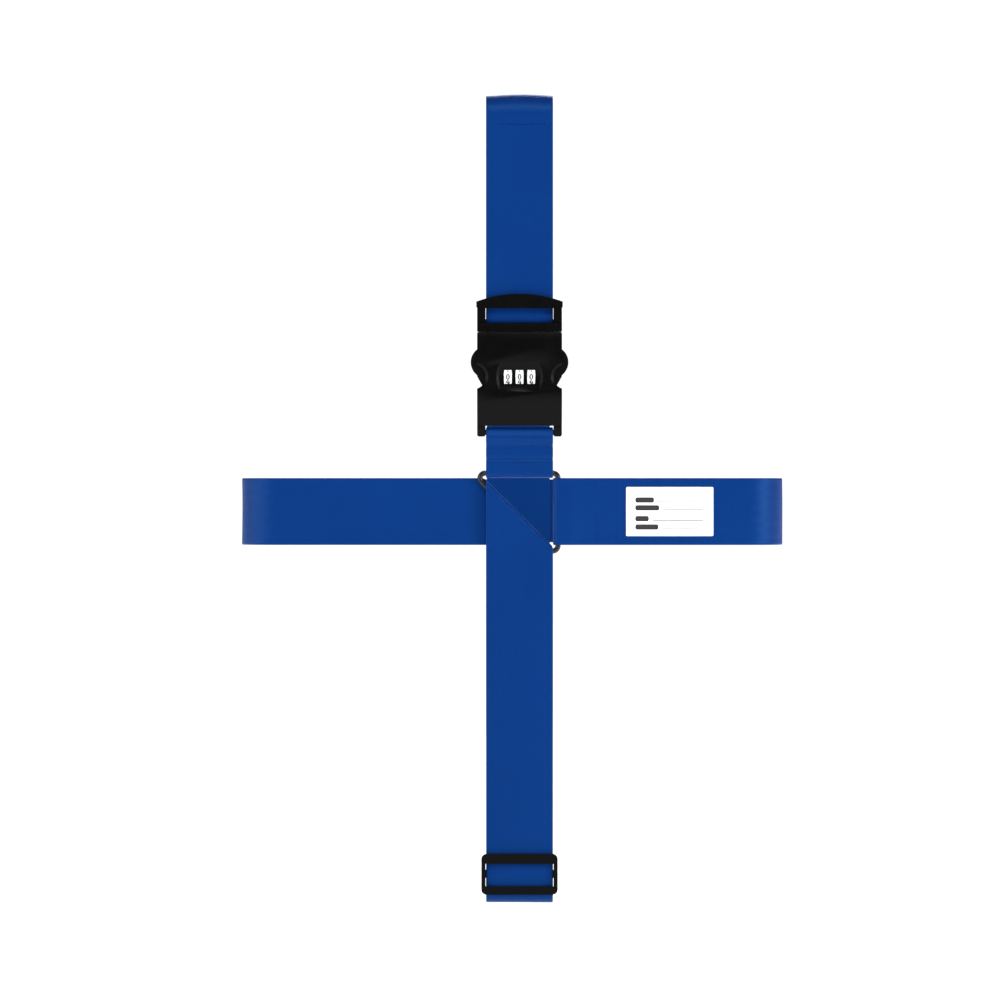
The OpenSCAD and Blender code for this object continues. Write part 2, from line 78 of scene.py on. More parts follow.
WEB_LEFT, WEB_RIGHT = span("length_webbing", 0)
STRAP_X = (WEB_LEFT + WEB_RIGHT) / 2
WEB_W = WEB_RIGHT - WEB_LEFT
WEB_T = -span("length_webbing", 2)[0]
FLOOR_Z = -WEB_T / 2
ROOF_Z = span("length_webbing", 2)[1] - WEB_T / 2
OUTER_Y = span("length_webbing", 1)[0] + WEB_T / 2
BACK_Y = span("length_webbing", 1)[1] - WEB_T / 2
BAR_Y = sum(span("link_webbing", 1)) / 2
WRAP_MID = BAR_Y - OUTER_Y
WRAP_OUT = WRAP_MID + WEB_T / 2
INNER_Y = BAR_Y + WRAP_MID
GIRTH_Z = MOUNTS["case_left"]["pos_m"][2]
SIDE_X = span("girth_webbing", 0)[1] - WEB_T / 2
GIRTH_BACK_Y = span("girth_webbing", 1)[1] - WEB_T / 2
RING_TOP_Z = span("link_webbing", 2)[0] + WRAP_OUT
LOW_BAR_Z = span("link_webbing", 2)[1] - WRAP_OUT
RING_SIDE_X = STRAP_X + WEB_W / 2 + WRAP_OUT
FOLD_SUM = STRAP_X + GIRTH_Z - math.pi * WRAP_MID / math.sqrt(2)
ADJUSTER_Z = span("buckle_webbing", 2)[0] + WRAP_OUT
SPLIT_Z = span("buckle_webbing", 2)[1]
DIAL_AT = [[(a + b) / 2 for a, b in zip(*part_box(f"dial_{i}"))] for i in (1, 2, 3)]
DIAL_R = (span("dial_2", 2)[1] - span("dial_2", 2)[0]) / 2
SLIDE_Z = sum(span("webbing_slide", 2)) / 2
SLOT_Z = ADJUSTER_Z + 0.0032
# radii of the bends at the case's sides, at its roof and at its base
EDGE_R, TOP_R, BASE_R = 0.026, 0.014, 0.006
SEWN_END, TAIL_LENGTH = 0.070, 0.118
LINK_ROWS = (0.0105, 0.0205)         # heights of the stub's sewn rows above the ring's top side
ROW_WIDTH, ROW_DIP = 0.0013, 0.0008  # how wide and how deep the thread draws the stub in
SEAM_START, SEAM_END = 0.030, 0.046  # where the girth end's sewn box lies, past the ring's side
LIE = 0.00004                        # how far the label's print stands up

# where webbing under tension swells outwards, as (middle, width, height)
RING_SWELL = (0.0080, 0.0042, 0.0019)
ROOF_SWELL = (0, 0.03, 0.0014)
SLIDE_SWELL = (SLIDE_Z + 0.001, 0.0036, 0.0011)
SLOT_SWELL = (SLOT_Z - 0.0005, 0.0032, 0.0020)
STUB_SWELL = (LOW_BAR_Z - 0.0040, 0.0048, 0.0028)


# ---------- settings ----------

class WebbingSettings(bpy.types.PropertyGroup):
    """Sizes and colours of the woven parts."""
    colour: bpy.props.FloatVectorProperty(
        name="Webbing colour", description="Colour of the webbing's yarn", subtype="COLOR",
        size=3, min=0, max=1, default=(0.0018, 0.0245, 0.140))
    # painted shade: a darker colour laid between the yarns, where shade falls in the weave
    shade: bpy.props.FloatVectorProperty(
        name="Shaded yarn", description="Colour down between the yarns", subtype="COLOR",
        size=3, min=0, max=1, default=(0.0009, 0.0130, 0.082))
    thread: bpy.props.FloatVectorProperty(
        name="Thread colour", description="Colour of the sewing thread", subtype="COLOR",
        size=3, min=0, max=1, default=(0.0018, 0.0220, 0.125))
    rib: bpy.props.FloatProperty(
        name="Rib pitch", description="Distance between the ribs that run along the webbing",
        default=0.0010, min=0.0006, max=0.004, unit="LENGTH")
    pick: bpy.props.FloatProperty(
        name="Pick pitch", description="Distance between the rows that cross the webbing",
        default=0.0009, min=0.0005, max=0.004, unit="LENGTH")
    ripple: bpy.props.FloatProperty(
        name="Ripple", description="How far the webbing strays from flat",
        default=0.00028, min=0, max=0.001, unit="LENGTH")
    stitch: bpy.props.FloatProperty(
        name="Stitch length", description="Length of one sewn stitch",
        default=0.0028, min=0.001, max=0.006, unit="LENGTH")


class LockSettings(bpy.types.PropertyGroup):
    """Finish of the lock, the plug and the slide."""
    plastic: bpy.props.FloatVectorProperty(
        name="Plastic colour", description="Colour of the moulded parts", subtype="COLOR",
        size=3, min=0, max=1, default=(0.0012, 0.0012, 0.0014))
    soft_edge: bpy.props.FloatProperty(
        name="Edge softness", description="Radius that softens the moulded edges",
        default=0.00035, min=0.0001, max=0.001, unit="LENGTH")
    dial: bpy.props.FloatVectorProperty(
        name="Dial colour", description="Colour of the number dials", subtype="COLOR",
        size=3, min=0, max=1, default=(0.72, 0.73, 0.72))
    digit: bpy.props.FloatProperty(
        name="Digit height", description="Height of the numbers on the dials",
        default=0.0042, min=0.002, max=0.005, unit="LENGTH")


class StageSettings(bpy.types.PropertyGroup):
    """Floor, light and camera."""
    floor: bpy.props.FloatVectorProperty(
        name="Floor colour", description="Colour of the floor", subtype="COLOR",
        size=3, min=0, max=1, default=(0.93, 0.93, 0.935))
    key: bpy.props.FloatProperty(
        name="Light", description="Power that all the lights are set from",
        default=95, min=0, max=1000, unit="POWER")
    distance: bpy.props.FloatProperty(
        name="Camera distance", description="From the camera to the front of the strap",
        default=4.0, min=1, max=20, unit="LENGTH")
    width: bpy.props.FloatProperty(
        name="View width", description="Width seen at the front of the strap",
        default=0.746, min=0.2, max=2, unit="LENGTH")


# ---------- shader groups and finishes ----------

WEAVE_DEPTH = 0.00006


def add(tree, kind, inputs=None, **settings):
    """Adds a node, sets its settings, and links or sets each named or numbered input."""
    made = tree.nodes.new(kind)
    for key, value in settings.items():
        setattr(made, key, value)
    for key, value in (inputs or {}).items():
        if isinstance(value, bpy.types.NodeSocket):
            tree.links.new(value, made.inputs[key])
        else:
            made.inputs[key].default_value = value
    return made


def maths(tree, operation, *values):
    """One Math node's result, in a shader or a geometry tree."""
    return add(tree, "ShaderNodeMath", dict(enumerate(values)), operation=operation).outputs[0]


def new_group(name, inputs, outputs):
    """An empty shader group with named sockets; returns the tree and its input node."""
    tree = bpy.data.node_groups.new(name, "ShaderNodeTree")
    for label, kind, value in inputs:
        socket = tree.interface.new_socket(label, in_out="INPUT", socket_type=kind)
        if value is not None:
            socket.default_value = value
    for label, kind in outputs:
        tree.interface.new_socket(label, in_out="OUTPUT", socket_type=kind)
    return tree, tree.nodes.new("NodeGroupInput")


def close_group(tree, **results):
    """Links the named results to the group's outputs."""
    end = tree.nodes.new("NodeGroupOutput")
    for label, socket in results.items():
        tree.links.new(socket, end.inputs[label.replace("_", " ")])
    return tree


def weave_group():
    """Herringbone webbing: ribs along the strip and slanting picks across it."""
    tree, start = new_group(
        "Webbing Weave",
        [("Along and across", "NodeSocketVector", None), ("Rib pitch", "NodeSocketFloat", 0.0012),
         ("Pick pitch", "NodeSocketFloat", 0.0011), ("Slant", "NodeSocketFloat", 1.2)],
        [("Height", "NodeSocketFloat"), ("Gap", "NodeSocketFloat"), ("Lustre", "NodeSocketFloat")])
    place = add(tree, "ShaderNodeSeparateXYZ", {0: start.outputs["Along and across"]})
    along, across = place.outputs[0], place.outputs[1]
    rib = maths(tree, "DIVIDE", across, start.outputs["Rib pitch"])
    pick = maths(tree, "DIVIDE", along, start.outputs["Pick pitch"])
    # each band of four ribs slants the other way from its neighbour
    side = maths(tree, "PINGPONG", rib, 4.0)
    slant = maths(tree, "MULTIPLY", side, start.outputs["Slant"])
    row = maths(tree, "ADD", pick, slant)
    ribs = maths(tree, "ABSOLUTE", maths(tree, "SINE", maths(tree, "MULTIPLY", rib, math.pi)))
    rows = maths(tree, "ABSOLUTE", maths(tree, "SINE", maths(tree, "MULTIPLY", row, math.pi)))
    ribs = maths(tree, "POWER", ribs, 0.55)
    rows = maths(tree, "POWER", rows, 0.7)
    height = maths(tree, "MULTIPLY", ribs, rows)
    stray = add(tree, "ShaderNodeTexNoise", {"Vector": start.outputs["Along and across"],
                                             "Scale": 900.0, "Detail": 3.0}).outputs[0]
    height = maths(tree, "ADD", height, maths(tree, "MULTIPLY", stray, 0.35))
    # the gap mask marks where painted shade goes between the yarns
    gap = maths(tree, "SUBTRACT", 1.0, maths(tree, "MULTIPLY", ribs, rows))
    broad = add(tree, "ShaderNodeTexNoise", {"Vector": start.outputs["Along and across"],
                                             "Scale": 14.0, "Detail": 4.0}).outputs[0]
    return close_group(tree, Height=height, Gap=gap, Lustre=broad)


def grain_group():
    """Fine moulded grain with faint dust and handling marks."""
    tree, start = new_group(
        "Moulded Grain",
        [("Place", "NodeSocketVector", None), ("Grain size", "NodeSocketFloat", 2600.0),
         ("Marks", "NodeSocketFloat", 90.0)],
        [("Height", "NodeSocketFloat"), ("Marks", "NodeSocketFloat"), ("Dust", "NodeSocketFloat")])
    fine = add(tree, "ShaderNodeTexNoise", {"Vector": start.outputs["Place"],
                                            "Scale": start.outputs["Grain size"],
                                            "Detail": 2.0}).outputs[0]
    marks = add(tree, "ShaderNodeTexNoise", {"Vector": start.outputs["Place"],
                                             "Scale": start.outputs["Marks"], "Detail": 6.0,
                                             "Roughness": 0.65}).outputs[0]
    dust = add(tree, "ShaderNodeTexNoise", {"Vector": start.outputs["Place"], "Scale": 700.0,
                                            "Detail": 5.0, "Roughness": 0.8}).outputs[0]
    dust = add(tree, "ShaderNodeMapRange", {0: dust, 1: 0.60, 2: 0.80}).outputs[0]
    return close_group(tree, Height=fine, Marks=marks, Dust=dust)


def blank(name, slot, **shader):
    """A material with a Principled shader whose constant sockets are set; returns both."""
    material = bpy.data.materials.new(name)
    material.use_nodes = True
    tree = material.node_tree
    bsdf = tree.nodes["Principled BSDF"]
    for key, value in shader.items():
        bsdf.inputs[key.replace("_", " ")].default_value = value
    material["slot"] = slot
    return material, tree, bsdf


def span_to(tree, value, low, high):
    """A value from 0..1 spread over low..high."""
    return add(tree, "ShaderNodeMapRange", {0: value, 3: low, 4: high}).outputs[0]


def mix(tree, factor, first, second):
    """Two colours mixed by a factor."""
    made = add(tree, "ShaderNodeMix", {0: factor}, data_type="RGBA")
    for index, colour in ((6, first), (7, second)):
        if isinstance(colour, bpy.types.NodeSocket):
            tree.links.new(colour, made.inputs[index])
        else:
            made.inputs[index].default_value = (*colour, 1)
    return made.outputs[2]


def webbing_finish(groups, name, colour, shade, rib, pick):
    """Woven polyester with a soft sheen, laid out by the strip's own length and width."""
    material, tree, bsdf = blank(name, "webbing", Sheen_Weight=0.18, Sheen_Roughness=0.35,
                                 Specular_IOR_Level=0.25, Sheen_Tint=(0.06, 0.32, 0.95, 1),
                                 Specular_Tint=(0.10, 0.42, 0.95, 1))
    uv = add(tree, "ShaderNodeUVMap", uv_map="Weave").outputs[0]
    weave = add(tree, "ShaderNodeGroup", node_tree=groups["weave"])
    tree.links.new(uv, weave.inputs[0])
    weave.inputs["Rib pitch"].default_value = rib
    weave.inputs["Pick pitch"].default_value = pick
    worn = span_to(tree, weave.outputs["Lustre"], 0.90, 1.10)
    # painted shade: the gap mask darkens the colour between the yarns
    body = mix(tree, maths(tree, "POWER", weave.outputs["Gap"], 1.6), colour, shade)
    lit = add(tree, "ShaderNodeHueSaturation", {"Value": worn, "Color": body}).outputs[0]
    tree.links.new(lit, bsdf.inputs["Base Color"])
    rough = span_to(tree, weave.outputs["Lustre"], 0.34, 0.42)
    tree.links.new(rough, bsdf.inputs["Roughness"])
    bump = add(tree, "ShaderNodeBump", {"Height": weave.outputs["Height"],
                                        "Distance": WEAVE_DEPTH, "Strength": 0.8})
    tree.links.new(bump.outputs[0], bsdf.inputs["Normal"])
    return material


def moulded_finish(groups, name, slot, colour, rough, dust_colour, grain=2600.0, depth=0.00002,
                   **shader):
    """Moulded plastic: fine grain, handling marks in the gloss and a trace of dust."""
    material, tree, bsdf = blank(name, slot, **shader)
    place = add(tree, "ShaderNodeTexCoord").outputs["Object"]
    grained = add(tree, "ShaderNodeGroup", node_tree=groups["grain"])
    tree.links.new(place, grained.inputs[0])
    grained.inputs["Grain size"].default_value = grain
    dusty = maths(tree, "MULTIPLY", grained.outputs["Dust"], 0.35)
    tree.links.new(mix(tree, dusty, colour, dust_colour), bsdf.inputs["Base Color"])
    tree.links.new(span_to(tree, grained.outputs["Marks"], rough - 0.09, rough + 0.12),
                   bsdf.inputs["Roughness"])
    bump = add(tree, "ShaderNodeBump", {"Height": grained.outputs["Height"], "Distance": depth,
                                        "Strength": 0.6})
    tree.links.new(bump.outputs[0], bsdf.inputs["Normal"])
    return material


def make_finishes(scene):
    """Builds every material once, by plain name."""
    web, lock = scene.strap_webbing, scene.strap_lock
    groups = {"weave": weave_group(), "grain": grain_group()}
    colour, shade = tuple(web.colour), tuple(web.shade)
    plastic = tuple(lock.plastic)
    return {
        "webbing": webbing_finish(groups, "Blue Webbing", colour, shade, web.rib, web.pick),
        "thread": moulded_finish(groups, "Sewing Thread", "webbing", tuple(web.thread), 0.6,
                                 colour, 5200.0, 0.0001, Specular_IOR_Level=0.15),
        "plastic": moulded_finish(groups, "Black Moulding", "buckle_black", plastic, 0.30,
                                  tuple(4 * c for c in plastic), Specular_IOR_Level=0.07),
        "arm": moulded_finish(groups, "Black Arm Moulding", "buckle_black", plastic, 0.34,
                              tuple(4 * c for c in plastic), Specular_IOR_Level=0.08),
        "dial": moulded_finish(groups, "Dial White", "dial_white", tuple(lock.dial), 0.46,
                               (0.5, 0.5, 0.48)),
        "ink": moulded_finish(groups, "Dark Ink", "buckle_black", (0.006, 0.006, 0.007), 0.55,
                              (0.02, 0.02, 0.02)),
        "line": moulded_finish(groups, "Grey Rule", "label_white", (0.05, 0.05, 0.055), 0.55,
                               (0.2, 0.2, 0.2)),
        "label": moulded_finish(groups, "Coated Label", "label_white", (0.92, 0.92, 0.93), 0.45,
                                (0.7, 0.7, 0.7), 1400.0, 0.00004),
        "ring": moulded_finish(groups, "Coated Wire", "ring_black", (0.008, 0.008, 0.009), 0.27,
                               (0.02, 0.02, 0.02), 1500.0, 0.00001, Specular_IOR_Level=0.3),
        "steel": moulded_finish(groups, "Plain Steel", "lock_steel", (0.48, 0.48, 0.49), 0.34,
                                (0.25, 0.24, 0.22), 1900.0, 0.00001, Metallic=1.0),
    }


FINISH = {}


def placed(name, data):
    """A new object in the scene that holds the given data."""
    obj = bpy.data.objects.new(name, data)
    bpy.context.scene.collection.objects.link(obj)
    return obj


def from_bmesh(name, mesh):
    """A new object in the scene made of a finished bmesh."""
    data = bpy.data.meshes.new(name)
    mesh.to_mesh(data)
    mesh.free()
    return placed(name, data)


def coat(obj, finish):
    """Leaves the piece with one finish only."""
    obj.data.materials.clear()
    obj.data.materials.append(FINISH[finish])


def dress(obj, finish, body=None, *replaced):
    """Gives a piece its finish, with that finish's slot, hides the CAD parts it replaces, and hangs
    it on the body it rides on.
    """
    coat(obj, finish)
    if replaced:
        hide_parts(*replaced)
    if body:
        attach(obj, body)
    return obj


# ---------- woven strips ----------

def arc(cx, cy, r, start, end, steps):
    """Points of an arc, angles in degrees."""
    return [(cx + r * math.cos(math.radians(start + (end - start) * i / steps)),
             cy + r * math.sin(math.radians(start + (end - start) * i / steps)))
            for i in range(steps + 1)]


class Route:
    """A flat path with its length, so that any distance gives a point and a normal."""

    def __init__(self, points, closed=False):
        self.points = [Vector(p) for p in points]
        if closed:
            self.points.append(self.points[0].copy())
        self.at = [0.0]
        for a, b in zip(self.points, self.points[1:]):
            self.at.append(self.at[-1] + (b - a).length)
        self.length = self.at[-1]
        count = len(self.points)
        self.normals = []
        for i in range(count):
            if closed and i in (0, count - 1):
                before, after = self.points[-1] - self.points[-2], self.points[1] - self.points[0]
            else:
                before = self.points[i] - self.points[max(i - 1, 0)]
                after = self.points[min(i + 1, count - 1)] - self.points[i]
            before = before if before.length else after
            after = after if after.length else before
            m = before.normalized() + after.normalized()
            n = Vector((-m.y, m.x)).normalized()
            side = Vector((-before.y, before.x)).normalized()
            self.normals.append(n / max(n.dot(side), 0.5))

    def place(self, s, offset):
        """The point at distance s, moved sideways by offset."""
        s = min(max(s, 0.0), self.length)
        low, high = 0, len(self.at) - 1
        while high - low > 1:
            middle = (low + high) // 2
            if self.at[middle] <= s:
                low = middle
            else:
                high = middle
        part = self.at[high] - self.at[low]
        t = (s - self.at[low]) / part if part else 0.0
        centre = self.points[low].lerp(self.points[high], t)
        normal = self.normals[low].lerp(self.normals[high], t)
        return centre + normal * offset

    def stations(self, step):
        """Every corner of the path and steps between them."""
        out = []
        for a, b in zip(self.at, self.at[1:]):
            parts = max(1, math.ceil((b - a) / step))
            out += [a + (b - a) * i / parts for i in range(parts)]
        return out + [self.length]


def strip_section(across, thick, parts):
    """Outline of the webbing's section: flat faces with rounded selvedges, as (across, offset)."""
    half, round_part = across / 2, thick * 0.45
    flat = half - round_part
    top = [(-flat + 2 * flat * i / parts, thick / 2) for i in range(parts + 1)]
    turn = [(flat + round_part * math.sin(a), thick / 2 * math.cos(a))
            for a in (math.pi * k / 6 for k in range(1, 6))]
    return (top + turn + [(x, -h) for x, h in reversed(top)]
            + [(-x, -h) for x, h in turn])


def weave_strip(name, stations, section, place, closed=False, start=0.0):
    """One strip of webbing through its stations, with its length and width as its UV map."""
    mesh = bmesh.new()
    uv = mesh.loops.layers.uv.new("Weave")
    rings = [[mesh.verts.new(place(s, w, h)) for w, h in section] for s in stations]
    count = len(section)
    pairs = list(zip(range(len(rings)), range(1, len(rings))))
    if closed:
        pairs.append((len(rings) - 1, 0))
    step = stations[1] - stations[0]
    for i, j in pairs:
        s0 = stations[i]
        s1 = stations[j] if j else stations[-1] + step
        for k in range(count):
            m = (k + 1) % count
            face = mesh.faces.new((rings[i][k], rings[i][m], rings[j][m], rings[j][k]))
            face.smooth = True
            for loop, (s, w) in zip(face.loops, ((s0, section[k][0]), (s0, section[m][0]),
                                                 (s1, section[m][0]), (s1, section[k][0]))):
                loop[uv].uv = (s + start, w)
    if not closed:
        for ring, s in ((rings[0], stations[0]), (rings[-1], stations[-1])):
            face = mesh.faces.new(ring)
            for edge in face.edges:
                edge.smooth = False
            for loop, (w, h) in zip(face.loops, section):
                loop[uv].uv = (s + h + start, w)
    bmesh.ops.recalc_face_normals(mesh, faces=mesh.faces)
    return from_bmesh(name, mesh)


def ripple(s, w, amount, seed):
    """A slow, shallow unevenness of tensioned webbing."""
    return amount * (0.55 * math.sin(s * 41 + seed) * math.sin(w * 95 + 0.7 * seed)
                     + 0.45 * math.sin(s * 17 + w * 60 + 1.9 * seed))


def bulge(at, middle, width, height):
    """A smooth swelling about one place."""
    return height * math.exp(-((at - middle) / width) ** 2)


def girth_route():
    """Girth loop in plan, from the sewn end round the ring, the case and back to the fold."""
    r = EDGE_R + WEB_T / 2
    tail_y = OUTER_Y + WEB_T + 0.00005
    return Route(
        [(RING_SIDE_X + SEWN_END, tail_y), (RING_SIDE_X + 0.026, tail_y),
         (RING_SIDE_X + 0.004, INNER_Y)]
        + arc(RING_SIDE_X, BAR_Y, WRAP_MID, 90, 270, 24)
        + arc(SIDE_X - r, OUTER_Y + r, r, -90, 0, 14)
        + arc(SIDE_X - r, GIRTH_BACK_Y - r, r, 0, 90, 14)
        + arc(-SIDE_X + r, GIRTH_BACK_Y - r, r, 90, 180, 14)
        + arc(-SIDE_X + r, INNER_Y + r, r, 180, 270, 14)
        + [(STRAP_X - WEB_W, INNER_Y)])


def upright_route(fold_z):
    """Upright loop seen from the side: down the front, under, up the back and over to the split."""
    rb, rt = BASE_R + WEB_T / 2, TOP_R + WEB_T / 2
    return Route(
        [(OUTER_Y, fold_z)]
        + arc(OUTER_Y + rb, FLOOR_Z + rb, rb, 180, 270, 12)
        + arc(BACK_Y - rb, FLOOR_Z + rb, rb, 270, 360, 12)
        + arc(BACK_Y - rt, ROOF_Z - rt, rt, 0, 90, 12)
        + arc(OUTER_Y + rt, ROOF_Z - rt, rt, 90, 180, 12)
        + [(OUTER_Y, SPLIT_Z)])


def fold_place(x, w, h):
    """Lays the strip over the ring's slanting side and down, without stretching it."""
    z = GIRTH_Z + w
    past = (x + z - FOLD_SUM) / math.sqrt(2)
    if past <= 0:
        return Vector((x, BAR_Y + WRAP_MID + h, z))
    foot = Vector((x - past / math.sqrt(2), 0, z - past / math.sqrt(2)))
    outward = Vector((1, 0, 1)) / math.sqrt(2)
    turn = past / WRAP_MID
    if turn < math.pi:
        r = WRAP_MID + h
        return foot + outward * r * math.sin(turn) + Vector((0, BAR_Y + r * math.cos(turn), 0))
    return foot - outward * (past - math.pi * WRAP_MID) + Vector((0, BAR_Y - WRAP_MID - h, 0))


def long_webbing(settings):
    """The long webbing in one piece, from its sewn end to where the buckle's stretch begins."""
    girth = girth_route()
    start_x = STRAP_X - WEB_W
    fold_run = 2.35 * WEB_W
    # past the fold the whole strip lies in front of the ring, and the upright route takes over
    end = fold_place(start_x + fold_run, 0, 0)
    upright = upright_route(end.z)
    amount = settings.ripple
    ring_exit = SEWN_END + math.pi * WRAP_MID
    roof_front = upright.length - (ROOF_Z - SPLIT_Z)

    def place(s, w, h):
        calm = min(1.0, s / 0.1)
        if s <= girth.length:
            on_ring = abs(s - SEWN_END - 0.004) < 0.02
            lift = 0 if on_ring else ripple(s, w, amount * calm, 1.0)
            near = min(1.0, (girth.length - s) / 0.03)
            lift = lift * near - bulge(s - ring_exit, *RING_SWELL)
            p = girth.place(s, h + lift)
            return Vector((p.x, p.y, GIRTH_Z + w))
        s -= girth.length
        if s <= fold_run:
            return fold_place(start_x + s, w, h)
        s -= fold_run
        near = min(1.0, s / 0.04)
        lift = ripple(s, w, amount, 3.0) * near
        lift += bulge(end.z - s, *SLIDE_SWELL)
        lift += bulge(s - roof_front, *ROOF_SWELL) * math.cos(w * 0.9 * math.pi / WEB_W)
        p = upright.place(s, -(h + lift))
        return Vector((STRAP_X - w, p.x, p.y))

    fold_stations = [girth.length + fold_run * i / 190 for i in range(1, 191)]
    stations = (girth.stations(0.006) + fold_stations
                + [girth.length + fold_run + s for s in upright.stations(0.006)[1:]])
    section = strip_section(WEB_W, WEB_T, 44)
    obj = weave_strip("long_webbing", stations, section, place)
    return obj, stations[-1]


def buckle_route():
    """From the split down to the adjuster bar, round it and up behind as the free tail."""
    return Route([(OUTER_Y, SPLIT_Z)] + arc(BAR_Y, ADJUSTER_Z, WRAP_MID, 180, 360, 24)
                 + [(INNER_Y, ADJUSTER_Z + TAIL_LENGTH)])


def buckle_webbing(settings, start):
    """The stretch that turns round the plug's adjuster bar."""
    route = buckle_route()

    def place(s, w, h):
        near = min(1.0, s / 0.03) * min(1.0, abs(s - (SPLIT_Z - ADJUSTER_Z)) / 0.04)
        lift = ripple(s, w, settings.ripple, 5.0) * near
        lift += bulge(SPLIT_Z - s, *SLOT_SWELL)
        p = route.place(s, -(h + lift))
        return Vector((STRAP_X - w, p.x, p.y))

    obj = weave_strip("buckle_stretch", route.stations(0.004), strip_section(WEB_W, WEB_T, 44),
                      place, start=start)
    return obj, route


def link_route():
    """Closed belt round the lock's low bar and the ring's top side, seen from the side."""
    return Route(arc(BAR_Y, RING_TOP_Z, WRAP_MID, 0, -180, 20)
                 + arc(BAR_Y, LOW_BAR_Z, WRAP_MID, 180, 0, 20)[:-1] + [(INNER_Y, LOW_BAR_Z)],
                 closed=True)


def link_webbing():
    """The doubled stub under the lock, drawn in along its two sewn rows."""
    route = link_route()

    def place(s, w, h):
        p = route.place(s, -h)
        front = p.x < BAR_Y
        above = p.y - RING_TOP_Z
        dip = sum(bulge(above, row, ROW_WIDTH, ROW_DIP) for row in LINK_ROWS)
        dip *= 1 if front else -1
        puff = 0.0003 * math.sin(math.pi * min(max(above / 0.03, 0), 1)) * (-1 if front else 1)
        roll = -bulge(p.y, *STUB_SWELL) if front else 0.0
        narrowed = 1 - 0.006 * abs(dip) / ROW_DIP
        return Vector((STRAP_X + w * narrowed, p.x + dip + puff + roll, p.y))

    return weave_strip("link_stub", route.stations(0.0007)[:-1],
                       strip_section(WEB_W, WEB_T, 40), place, closed=True)


# ---------- stitches ----------

def stitch_tree():
    """Geometry Nodes: threads laid end to end along the sewn lines."""
    tree = bpy.data.node_groups.new("Sewn Stitches", "GeometryNodeTree")
    face = tree.interface
    face.new_socket("Lines", in_out="INPUT", socket_type="NodeSocketGeometry")
    for label, value in (("Stitch length", 0.0028), ("Thread radius", 0.00028),
                         ("Fill", 0.8)):
        socket = face.new_socket(label, in_out="INPUT", socket_type="NodeSocketFloat")
        socket.default_value = value
    face.new_socket("Thread", in_out="INPUT", socket_type="NodeSocketMaterial")
    face.new_socket("Stitches", in_out="OUTPUT", socket_type="NodeSocketGeometry")
    start, end = tree.nodes.new("NodeGroupInput"), tree.nodes.new("NodeGroupOutput")
    curve = add(tree, "GeometryNodeMeshToCurve", {0: start.outputs["Lines"]})
    spaced = add(tree, "GeometryNodeResampleCurve", {"Curve": curve.outputs[0]}, mode="LENGTH")
    tree.links.new(start.outputs["Stitch length"], spaced.inputs["Length"])
    bead = add(tree, "GeometryNodeMeshUVSphere", {"Segments": 8, "Rings": 6, "Radius": 1.0})
    half = maths(tree, "MULTIPLY", start.outputs["Stitch length"], start.outputs["Fill"])
    half = maths(tree, "MULTIPLY", half, 0.5)
    size = add(tree, "ShaderNodeCombineXYZ", {0: start.outputs["Thread radius"],
                                              1: start.outputs["Thread radius"], 2: half})
    tangent = add(tree, "GeometryNodeInputTangent")
    turned = add(tree, "FunctionNodeAlignRotationToVector", {"Vector": tangent.outputs[0]},
                 axis="Z")
    placed = add(tree, "GeometryNodeInstanceOnPoints", {"Points": spaced.outputs[0],
                                                        "Instance": bead.outputs[0],
                                                        "Rotation": turned.outputs[0],
                                                        "Scale": size.outputs[0]})
    real = add(tree, "GeometryNodeRealizeInstances", {0: placed.outputs[0]})
    smooth = add(tree, "GeometryNodeSetShadeSmooth", {0: real.outputs[0]})
    done = add(tree, "GeometryNodeSetMaterial", {"Geometry": smooth.outputs[0],
                                                 "Material": start.outputs["Thread"]})
    tree.links.new(done.outputs[0], end.inputs[0])
    return tree


def sew(name, lines, tree, stitch, radius, body):
    """Runs stitches along lines of points, as one plain mesh that rides on a body."""
    data = bpy.data.meshes.new(name + "_lines")
    verts, edges = [], []
    for line in lines:
        base = len(verts)
        verts += [tuple(p) for p in line]
        edges += [(base + i, base + i + 1) for i in range(len(line) - 1)]
    data.from_pydata(verts, edges, [])
    carrier = placed(name + "_lines", data)
    modifier = carrier.modifiers.new("Stitches", "NODES")
    modifier.node_group = tree
    values = {"Stitch length": stitch, "Thread radius": radius, "Thread": FINISH["thread"]}
    for item in tree.interface.items_tree:
        if item.in_out == "INPUT" and item.name in values:
            modifier[item.identifier] = values[item.name]
    graph = bpy.context.evaluated_depsgraph_get()
    made = bpy.data.meshes.new_from_object(carrier.evaluated_get(graph))
    bpy.data.objects.remove(carrier)
    if not made.polygons:
        raise RuntimeError(f"{name}: no stitches were made")
    return dress(placed(name, made), "thread", body)


def across_line(y, z, inset):
    """A sewn row from edge to edge of the upright webbing."""
    half = WEB_W / 2 - inset
    return [Vector((STRAP_X - half + 2 * half * i / 24, y, z)) for i in range(25)]


# ---------- moulded pieces ----------

SHARP = math.radians(34)


